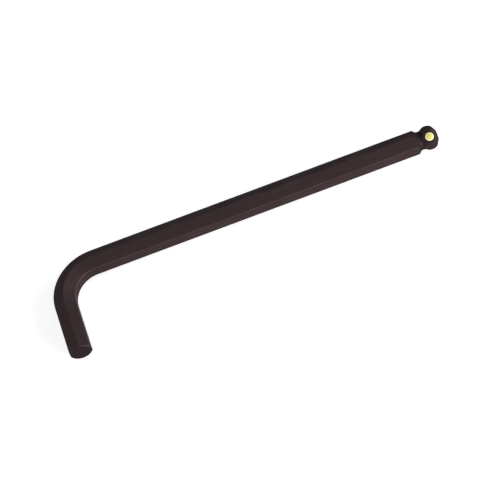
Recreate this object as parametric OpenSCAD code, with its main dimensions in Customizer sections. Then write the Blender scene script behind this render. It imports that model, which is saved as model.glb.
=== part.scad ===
// Ball-end hex key: a hexagonal steel bar bent into an L. The short arm ends in
// a plain chamfered face. The long arm ends in a turned neck and a six-sided
// ball, with a small retaining plug pressed into one of the ball's facets.
// +X runs along the long arm to the ball, the short arm points to -Y, and the
// key lies on the lower corner of its bar, at Z = 0.

/* [Hexagonal bar] */
// Width of the bar across its flats
across_flats = 10; // [8:0.5:14]
// How far drawing rounds the bar's six corners down from sharp
corner_round = 0.1; // [0.02:0.01:0.3]

/* [L shape] */
// Length of the long arm, from the back of the short arm to the ball's tip
long_arm = 189; // [90:1:300]
// Length of the short arm, from the back of the long arm to its end face
short_arm = 47.6; // [40:0.2:90]
// Radius of the bend, along the middle of the bar
bend_r = 17.8; // [10:0.1:28]
// Chamfer on the short arm's end, measured across a flat
end_chamfer = 0.3; // [0.05:0.05:0.6]

/* [Neck] */
// Depth of the neck below the bar's flats
neck_depth = 0.7; // [0.4:0.05:1.2]
// Radius of the round groove that forms the neck
groove_r = 2.5; // [2.1:0.1:4]
// Distance from the ball's centre back to the middle of the groove
neck_back = 3.95; // [3.6:0.05:5]

/* [Ball] */
// How much narrower the ball is than the bar, across its flats
ball_relief = 0.2; // [0:0.05:0.6]
// How far the ball's six corners are turned down from sharp
corner_cut = 0.05; // [0.01:0.01:0.2]
// How much of the full ball is cut away by its flat tip
tip_cut = 0.85; // [0.4:0.01:1]
// Diameter of the flat on the tip
tip_flat_d = 4.6; // [3:0.1:5]
// Angle of the tip's chamfer, up from the flat
tip_angle = 30; // [20:1:45]
// Height above the neck at which the ball's facets run out
runout_step = 0.08; // [0.04:0.01:0.2]

/* [Retaining plug] */
// Diameter of the plug
plug_d = 3.9; // [2:0.1:4.2]
// Depth of the plug's straight side below the ball's facet
plug_depth = 3; // [1.5:0.1:3.2]
// How far the plug's domed face stands above the ball's facet
plug_proud = 0.25; // [0.1:0.01:0.4]
// Chamfer on the plug's inner end
plug_lead = 0.3; // [0.1:0.05:0.6]
// Gap between the plug's side and its hole
plug_gap = 0.01; // [0.005:0.005:0.04]
// Point angle of the drill that made the plug's hole
drill_angle = 118; // [90:1:140]

/* [Hidden] */
$fn = 96;
over = 1;                               // how far a cutter reaches past what it cuts
half_flats = across_flats / 2;
half_corners = half_flats / cos(30) - corner_round;
arm_x = half_flats - long_arm / 2;      // middle line of the short arm
arm_y = short_arm / 2 - half_flats;     // middle line of the long arm
bend_x = arm_x + bend_r;                // centre of the bend
bend_y = arm_y - bend_r;
ball_r = (across_flats - ball_relief) / 2;
ball_x = long_arm / 2 - ball_r + tip_cut;
tip_reach = ball_r - tip_cut;           // from the ball's centre to its flat tip
blank_r = ball_r / cos(30) - corner_cut;
neck_r = half_flats - neck_depth;
long_run = ball_x - neck_back - bend_x; // straight bar, from the bend to mid-neck
short_run = short_arm - half_flats - bend_r;
plug_side = 210;                        // facet with the plug, above the inner side

// Hexagon with rounded corners, two of them on the X axis
module bar_section() {
    intersection() {
        circle(r = half_flats / cos(30), $fn = 6);
        circle(r = half_corners);
    }
}

// Straight run of bar along +Z
module bar(length) {
    linear_extrude(height = length) bar_section();
}

// Quarter bend about Z, from the +Y side to the -X side
module bend() {
    rotate(90)
        rotate_extrude(angle = 90)
            translate([bend_r, 0]) rotate(90) bar_section();
}

// Straight run of the short arm along +Z, its end chamfered on a lathe at Z = 0
module short_end() {
    face_r = half_flats - end_chamfer;
    intersection() {
        bar(short_run);
        cylinder(r1 = face_r, r2 = face_r + short_run, h = short_run);
    }
}

// Turned blank of the ball and its half of the neck, with the ball's centre at Z = 0
module ball_blank() {
    cone_start = tip_reach - (blank_r - tip_flat_d / 2) * tan(tip_angle);
    rotate_extrude()
        polygon([[0, -neck_back], [blank_r, -neck_back], [blank_r, cone_start],
                 [tip_flat_d / 2, tip_reach], [0, tip_reach]]);
}

// Room between two opposite facets: arcs about the ball's centre that run out flat
// a little above the neck
module facet_pair() {
    level = neck_r + runout_step;
    rotate([90, 0, 90])
        linear_extrude(height = 4 * blank_r, center = true) {
            circle(r = ball_r);
            translate([-level, -neck_back - over]) square([2 * level, neck_back + over]);
        }
}

// Six-sided ball
module ball() {
    intersection() {
        ball_blank();
        facet_pair();
        rotate(60) facet_pair();
        rotate(120) facet_pair();
    }
}

// Ring that cuts the neck, behind the ball
module neck_groove() {
    translate([0, 0, -neck_back])
        rotate_extrude() translate([neck_r + groove_r, 0]) circle(r = groove_r);
}

// Moves what is drawn about the ball's centre to its place on the key
module at_ball() {
    translate([ball_x, arm_y, half_corners]) rotate([0, 90, 0]) children();
}

// Blind drilled hole for the plug, along +X
module plug_hole() {
    r = plug_d / 2 + plug_gap;
    point = r / tan(drill_angle / 2);
    translate([ball_r - plug_depth, 0, 0]) rotate([0, 90, 0]) {
        cylinder(r = r, h = plug_depth + over);
        translate([0, 0, -point]) cylinder(r1 = 0, r2 = r, h = point);
    }
}

// The bent bar with its neck and ball
module hex_key() {
    color([0.19, 0.155, 0.16])
        difference() {
            union() {
                translate([bend_x, bend_y, half_corners]) bend();
                translate([bend_x, arm_y, half_corners])
                    rotate([0, 90, 0]) bar(long_run);
                translate([arm_x, -short_arm / 2, half_corners])
                    rotate([-90, 0, 0]) rotate(90) short_end();
                at_ball() ball();
            }
            at_ball() neck_groove();
            at_ball() rotate(plug_side) plug_hole();
        }
}

// Plug that grips the socket, with a domed face that follows the ball
module retaining_plug() {
    r = plug_d / 2;
    color([0.91, 0.87, 0.5])
        at_ball() rotate(plug_side)
            intersection() {
                translate([ball_r - plug_depth, 0, 0]) rotate([0, 90, 0]) {
                    cylinder(r1 = r - plug_lead, r2 = r, h = plug_lead);
                    translate([0, 0, plug_lead]) cylinder(r = r, h = plug_depth);
                }
                sphere(r = ball_r + plug_proud);
            }
}

hex_key();
retaining_plug();
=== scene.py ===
import math

import bmesh
import bpy
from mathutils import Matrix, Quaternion, Vector

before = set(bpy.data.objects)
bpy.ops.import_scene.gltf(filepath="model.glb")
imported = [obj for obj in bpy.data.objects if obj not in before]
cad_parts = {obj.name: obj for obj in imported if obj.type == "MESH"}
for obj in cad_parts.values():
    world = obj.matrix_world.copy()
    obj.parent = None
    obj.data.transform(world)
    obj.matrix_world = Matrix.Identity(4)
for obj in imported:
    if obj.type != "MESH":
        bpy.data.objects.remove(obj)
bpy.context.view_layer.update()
scene = bpy.context.scene
print("frame loaded")


def addNode(tree, kind, inputs=None, **settings):
    node = tree.nodes.new("ShaderNode" + kind)
    for name, value in settings.items():
        setattr(node, name, value)
    for socket, value in (inputs or {}).items():
        if isinstance(value, bpy.types.NodeSocket):
            tree.links.new(value, node.inputs[socket])
        else:
            node.inputs[socket].default_value = value
    return node


def calc(tree, operation, *values):  # one step of arithmetic
    inputs = dict(enumerate(values))
    return addNode(tree, "Math", inputs, operation=operation).outputs[0]


def span(tree, value, low, high, toLow=0.0, toHigh=1.0):  # low..high eases to toLow..toHigh
    inputs = {"Value": value, "From Min": low, "From Max": high, "To Min": toLow, "To Max": toHigh}
    return addNode(tree, "MapRange", inputs, interpolation_type="SMOOTHSTEP").outputs["Result"]


def mix(tree, amount, first, second):
    return addNode(tree, "Mix", {0: amount, 2: first, 3: second}, data_type="FLOAT").outputs[0]


def mixColor(tree, amount, first, second):
    return addNode(tree, "Mix", {0: amount, 6: first, 7: second}, data_type="RGBA").outputs[2]


def vector(tree, x, y, z):
    return addNode(tree, "CombineXYZ", {0: x, 1: y, 2: z}).outputs[0]


def scaled(tree, value, scale):  # a place or a colour, times a number
    return addNode(tree, "VectorMath", {0: value, "Scale": scale}, operation="SCALE").outputs[0]


def length(tree, first, second):
    sides = vector(tree, first, second, 0.0)
    return addNode(tree, "VectorMath", {0: sides}, operation="LENGTH").outputs["Value"]


def noise(tree, place, scale, detail, rough):
    inputs = {"Vector": place, "Scale": scale, "Detail": detail, "Roughness": rough}
    return addNode(tree, "TexNoise", inputs).outputs[0]


def inMillimetres(tree):  # the place on the piece
    return scaled(tree, addNode(tree, "TexCoord").outputs["Object"], 1000.0)


def paint(name, color):
    material = bpy.data.materials.new(name)
    material.use_nodes = True
    material.diffuse_color = color
    tree = material.node_tree
    return material, tree, tree.nodes["Principled BSDF"]


def dress(node, material):
    mesh = node.data
    mesh.materials.clear()
    mesh.materials.append(material)


# Black oxide on drawn steel. Sizes are in millimetres, as the key lies.
steel = {
    "bendX": -71.7,  # centre of the bend
    "bendY": 1.0,
    "bendRadius": 17.8,
    "axisZ": 5.6735,  # height of the bar's middle
    "cornerRadius": 5.67,
    "endY": -23.8,  # end face of the short arm
    "faceRadius": 4.7,  # where the end face meets its chamfer
    "neckX": 86.5,  # middle of the neck's groove
    "grooveAway": 6.8,  # centre of the groove's arc, out from the bar's middle
    "grooveRadius": 2.5,
    "tipX": 94.5,  # flat tip
    "tipRadius": 2.3,
    "tipSlope": 0.5774,  # tangent of the tip's 30 degree chamfer
    "fades": {  # how far from its surface a turned or ground finish is whole, and where it ends
        "groove": (0.02, 0.10),
        "cone": (0.02, 0.09),
        "face": (0.02, 0.06),
    },
    "ballFade": 0.5,  # the ball's darker colour comes in over this, from the middle of the neck
    "dark": (0.0465, 0.0310, 0.0330, 1.0),
    "light": (0.0585, 0.0397, 0.0417, 1.0),
    "wornAndHighlit": (0.0950, 0.0720, 0.0710, 1.0),  # on the corners, paler: wear, and a painted highlight
    "wearAndHighlight": (0.06, 0.32),  # least and most of it
    "wearAndHighlightFrom": (0.40, 0.62),  # mottle at which it is least and most
    "wornAndHighlitBand": 0.08,  # how far in from a corner it reaches
    # how dark each place is made: the end face's ground finish, painted shade in the neck's groove,
    # and darker on the chamfer, ball and tip
    "shades": {"chamfer": 0.80, "end": 0.54, "ball": 0.84, "neck": 0.58, "tip": 0.66},
    "holeShadow": 0.58,  # painted shadow round the plug's hole
    "holeEdge": (0.30, 0.90),  # how far out from the plug that painted shadow fades
    "drawn": (1.7, 4.0, 0.6),  # scale, detail and roughness of each noise
    "mottle": (0.22, 3.0, 0.55),
    "grain": (2.6, 2.0, 0.6),
    "neckRings": (4.5, 3.0, 0.6),
    "endRings": (3.6, 3.0, 0.6),
    "drawnStretch": 0.02,  # along the bar
    "mottleStretch": 0.4,
    "shares": (0.45, 0.40, 0.15),  # of lines, mottle and grain in the tone
    "toneFrom": (0.36, 0.64),
    "metallic": 0.35,
    "specular": 0.03,
    "edgeTint": (0.15, 0.10, 0.11, 1.0),
    "roughness": (0.52, 0.38),  # of the dark and the light oxide
    "turnedRoughness": 0.48,
    "bumpStrength": 0.3,
    "bumpHeight": 0.00002,  # metres
}


# Smooth yellow plastic, paler towards its rim
plug = {
    "middle": (90.45, 16.3, 10.003),  # centre of the plug's face, in millimetres
    "radius": 1.95,
    "color": (0.78, 0.71, 0.167, 1.0),
    "rim": (0.90, 0.82, 0.43, 1.0),
    "rimFrom": (0.55, 1.05),  # shares of the radius between which it pales
    "grain": (1.8, 3.0, 0.5),  # scale, detail and roughness of the noise
    "waver": 0.4,
    "roughness": (0.33, 0.43),
    "roughFrom": (0.3, 0.7),
}


def fromPlug(tree, place):
    inputs = {0: place, 1: plug["middle"]}
    return addNode(tree, "VectorMath", inputs, operation="DISTANCE").outputs["Value"]


def barPlace(tree, x, y, z):  # along the bar, out from the bend, up, and out from the bar's middle
    s = steel
    fromX = calc(tree, "SUBTRACT", x, s["bendX"])
    fromY = calc(tree, "SUBTRACT", y, s["bendY"])
    insideX = calc(tree, "MINIMUM", fromX, 0.0)
    insideY = calc(tree, "MAXIMUM", fromY, 0.0)
    turn = calc(tree, "ARCTAN2", calc(tree, "MULTIPLY", insideX, -1.0), insideY)
    across = calc(tree, "SUBTRACT", length(tree, insideX, insideY), s["bendRadius"])
    straight = calc(tree, "ADD", calc(tree, "MAXIMUM", fromX, 0.0), calc(tree, "MINIMUM", fromY, 0.0))
    along = calc(tree, "SUBTRACT", straight, calc(tree, "MULTIPLY", turn, s["bendRadius"]))
    height = calc(tree, "SUBTRACT", z, s["axisZ"])
    return along, across, height, length(tree, across, height)


def workedPlaces(tree, x, y, radius):  # 1 in each place that was turned, milled or ground
    s = steel

    def near(distance, fade):
        return span(tree, distance, *s["fades"][fade], 1.0, 0.0)

    fromNeck = calc(tree, "SUBTRACT", x, s["neckX"])
    inGroove = length(tree, fromNeck, calc(tree, "SUBTRACT", radius, s["grooveAway"]))
    toTip = calc(tree, "SUBTRACT", s["tipX"], x)
    tipCone = calc(tree, "MULTIPLY", calc(tree, "SUBTRACT", radius, s["tipRadius"]), s["tipSlope"])
    tipSlope = near(calc(tree, "SUBTRACT", toTip, tipCone), "cone")
    fromEnd = calc(tree, "SUBTRACT", y, s["endY"])
    endCone = calc(tree, "SUBTRACT", radius, s["faceRadius"])
    return {
        "chamfer": near(calc(tree, "SUBTRACT", fromEnd, endCone), "cone"),
        "end": near(fromEnd, "face"),
        "ball": span(tree, fromNeck, 0.0, s["ballFade"]),
        "neck": near(calc(tree, "SUBTRACT", inGroove, s["grooveRadius"]), "groove"),
        "tip": calc(tree, "MAXIMUM", tipSlope, near(toTip, "face")),
    }


def makeSteel():
    s = steel
    material, tree, shader = paint("oxideSteel", s["light"])
    place = inMillimetres(tree)
    x, y, z = addNode(tree, "SeparateXYZ", {0: place}).outputs
    along, across, height, radius = barPlace(tree, x, y, z)
    worked = workedPlaces(tree, x, y, radius)
    turned = calc(tree, "MAXIMUM", worked["neck"], worked["tip"])

    # Lines along the drawn bar, rings on the neck, the tip and the end face, and the oxide's mottle
    drawnAt = vector(tree, calc(tree, "MULTIPLY", along, s["drawnStretch"]), across, height)
    mottleAt = vector(tree, calc(tree, "MULTIPLY", along, s["mottleStretch"]), across, height)
    mottle = noise(tree, mottleAt, *s["mottle"])
    neckRings = noise(tree, vector(tree, x, 0.0, 0.0), *s["neckRings"])
    endRings = noise(tree, vector(tree, radius, 0.0, 0.0), *s["endRings"])
    rings = mix(tree, calc(tree, "MAXIMUM", worked["end"], worked["tip"]), neckRings, endRings)
    ringed = calc(tree, "MAXIMUM", turned, worked["end"])
    lines = mix(tree, ringed, noise(tree, drawnAt, *s["drawn"]), rings)
    tone = 0.0
    for pattern, share in zip((lines, mottle, noise(tree, place, *s["grain"])), s["shares"]):
        tone = calc(tree, "MULTIPLY_ADD", pattern, share, tone)
    tone = span(tree, tone, *s["toneFrom"])

    # Paler corners, from wear and a painted highlight; darker on the end face's ground finish and on
    # the chamfer, ball and tip, with painted shade in the neck's groove and a painted shadow round
    # the plug
    corner = span(tree, radius, s["cornerRadius"] - s["wornAndHighlitBand"], s["cornerRadius"])
    wearAndHighlight = calc(tree, "MULTIPLY", corner, span(tree, mottle, *s["wearAndHighlightFrom"], *s["wearAndHighlight"]))
    color = mixColor(tree, wearAndHighlight, mixColor(tree, tone, s["dark"], s["light"]), s["wornAndHighlit"])
    # darker in each worked place; in the neck's groove this is painted shade
    shade = 1.0
    for name, amount in worked.items():
        shade = mix(tree, amount, shade, s["shades"][name])
    # A painted shadow round the plug's hole
    fromHole = calc(tree, "SUBTRACT", fromPlug(tree, place), plug["radius"])
    hole = mix(tree, span(tree, fromHole, *s["holeEdge"], 1.0, 0.0), 1.0, s["holeShadow"])
    color = scaled(tree, color, calc(tree, "MULTIPLY", shade, hole))
    tree.links.new(color, shader.inputs["Base Color"])

    roughness = mix(tree, turned, mix(tree, tone, *s["roughness"]), s["turnedRoughness"])
    tree.links.new(roughness, shader.inputs["Roughness"])
    shader.inputs["Metallic"].default_value = s["metallic"]
    shader.inputs["Specular IOR Level"].default_value = s["specular"]
    shader.inputs["Specular Tint"].default_value = s["edgeTint"]
    relief = {"Strength": s["bumpStrength"], "Distance": s["bumpHeight"], "Height": lines}
    tree.links.new(addNode(tree, "Bump", relief).outputs[0], shader.inputs["Normal"])
    return material


def makePlug():
    material, tree, shader = paint("yellowPlug", plug["color"])
    place = inMillimetres(tree)
    grain = noise(tree, place, *plug["grain"])
    out = calc(tree, "MULTIPLY_ADD", grain, plug["waver"], fromPlug(tree, place))
    pale = span(tree, out, *(share * plug["radius"] for share in plug["rimFrom"]))
    tree.links.new(mixColor(tree, pale, plug["color"], plug["rim"]), shader.inputs["Base Color"])
    roughness = span(tree, grain, *plug["roughFrom"], *plug["roughness"])
    tree.links.new(roughness, shader.inputs["Roughness"])
    return material


dress(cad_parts["hex_key"], makeSteel())
dress(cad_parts["retaining_plug"], makePlug())
print("materials on")


# A plain white table top
floor = {
    "half": 4.0,  # metres
    "color": (0.80, 0.80, 0.80, 1.0),
    "glow": 0.56,  # in reflections, and never falling on the key
    "nearGlow": 0.71,  # before the camera, near the key
    "farGlow": 0.97,  # and where the lamps no longer reach
    "near": 0.12,  # metres
    "far": 1.0,
}


def seenRay(tree):
    rays = addNode(tree, "LightPath").outputs
    seen = calc(tree, "MAXIMUM", rays["Is Camera Ray"], rays["Is Glossy Ray"])
    return calc(tree, "MAXIMUM", seen, rays["Is Transmission Ray"])


def makeFloor():
    material, tree, shader = paint("paleFloor", floor["color"])
    shader.inputs["Base Color"].default_value = floor["color"]
    shader.inputs["Roughness"].default_value = 1.0
    shader.inputs["Specular IOR Level"].default_value = 0.0
    shader.inputs["Emission Color"].default_value = (1.0, 1.0, 1.0, 1.0)
    coords = addNode(tree, "TexCoord").outputs["Object"]
    away = addNode(tree, "VectorMath", {0: coords}, operation="LENGTH").outputs["Value"]
    straight = addNode(tree, "LightPath").outputs["Is Camera Ray"]
    glow = span(tree, away, floor["near"], floor["far"], floor["nearGlow"], floor["farGlow"])
    glow = mix(tree, straight, floor["glow"], glow)
    tree.links.new(calc(tree, "MULTIPLY", seenRay(tree), glow), shader.inputs["Emission Strength"])
    form = bmesh.new()
    bmesh.ops.create_grid(form, x_segments=1, y_segments=1, size=floor["half"])
    mesh = bpy.data.meshes.new("floor")
    form.to_mesh(mesh)
    form.free()
    mesh.materials.append(material)
    piece = bpy.data.objects.new("floor", mesh)
    scene.collection.objects.link(piece)


makeFloor()
print("floor made")


studio = {
    "light": 0.13,  # of the surroundings
    "whiteTo": 0.10,  # seen white up to this height, and dark from the next one up
    "darkFrom": 0.40,
    "lamps": [  # name, where it stands and its size in metres, its power in watts
        ("frontLamp", (0.60, -0.88, 0.25), 0.5, 9.7),
        ("rightLamp", (1.0, -0.12, 0.37), 0.9, 8.6),
        ("leftLamp", (-1.0, -0.20, 0.38), 0.9, 5.8),
    ],
}


def makeStudio():
    world = bpy.data.worlds.new("studio")
    world.use_nodes = True
    scene.world = world
    tree = world.node_tree
    background = tree.nodes["Background"]
    background.inputs["Color"].default_value = (1.0, 1.0, 1.0, 1.0)
    toSky = addNode(tree, "TexCoord").outputs["Generated"]
    up = addNode(tree, "SeparateXYZ", {0: toSky}).outputs["Z"]
    white = span(tree, up, studio["whiteTo"], studio["darkFrom"], 1.0, studio["light"])
    tree.links.new(mix(tree, seenRay(tree), studio["light"], white), background.inputs["Strength"])
    for name, place, size, power in studio["lamps"]:
        lamp = bpy.data.lights.new(name, "AREA")
        lamp.shape = "SQUARE"
        lamp.size = size
        lamp.energy = power
        stand = bpy.data.objects.new(name, lamp)
        stand.location = place
        stand.rotation_euler = (-Vector(place)).to_track_quat("-Z", "Y").to_euler()
        scene.collection.objects.link(stand)


makeStudio()
print("lights on")


view = {
    "azimuth": -1.448,  # degrees
    "elevation": 57.548,
    "roll": -19.233,
    "distance": 0.909893,  # metres, from where it aims
    "aim": (-0.003620, -0.004260, 0.005666),
    "lens": 146.298,  # millimetres
    "sensor": 36.0,
    "clip": (0.01, 50.0),  # nearest and farthest it sees, in metres
}


def makeCamera():
    azimuth, elevation, roll = (math.radians(view[k]) for k in ("azimuth", "elevation", "roll"))
    level = math.cos(elevation)
    back = Vector((math.sin(azimuth) * level, -math.cos(azimuth) * level, math.sin(elevation)))
    lens = bpy.data.cameras.new("camera")
    lens.lens = view["lens"]
    lens.sensor_width = view["sensor"]
    lens.clip_start, lens.clip_end = view["clip"]
    camera = bpy.data.objects.new("camera", lens)
    camera.location = Vector(view["aim"]) + back * view["distance"]
    turned = (-back).to_track_quat("-Z", "Y") @ Quaternion((0.0, 0.0, 1.0), roll)
    camera.rotation_euler = turned.to_euler()
    scene.collection.objects.link(camera)
    scene.camera = camera


makeCamera()
scene.view_settings.view_transform = "Standard"
print("camera set")
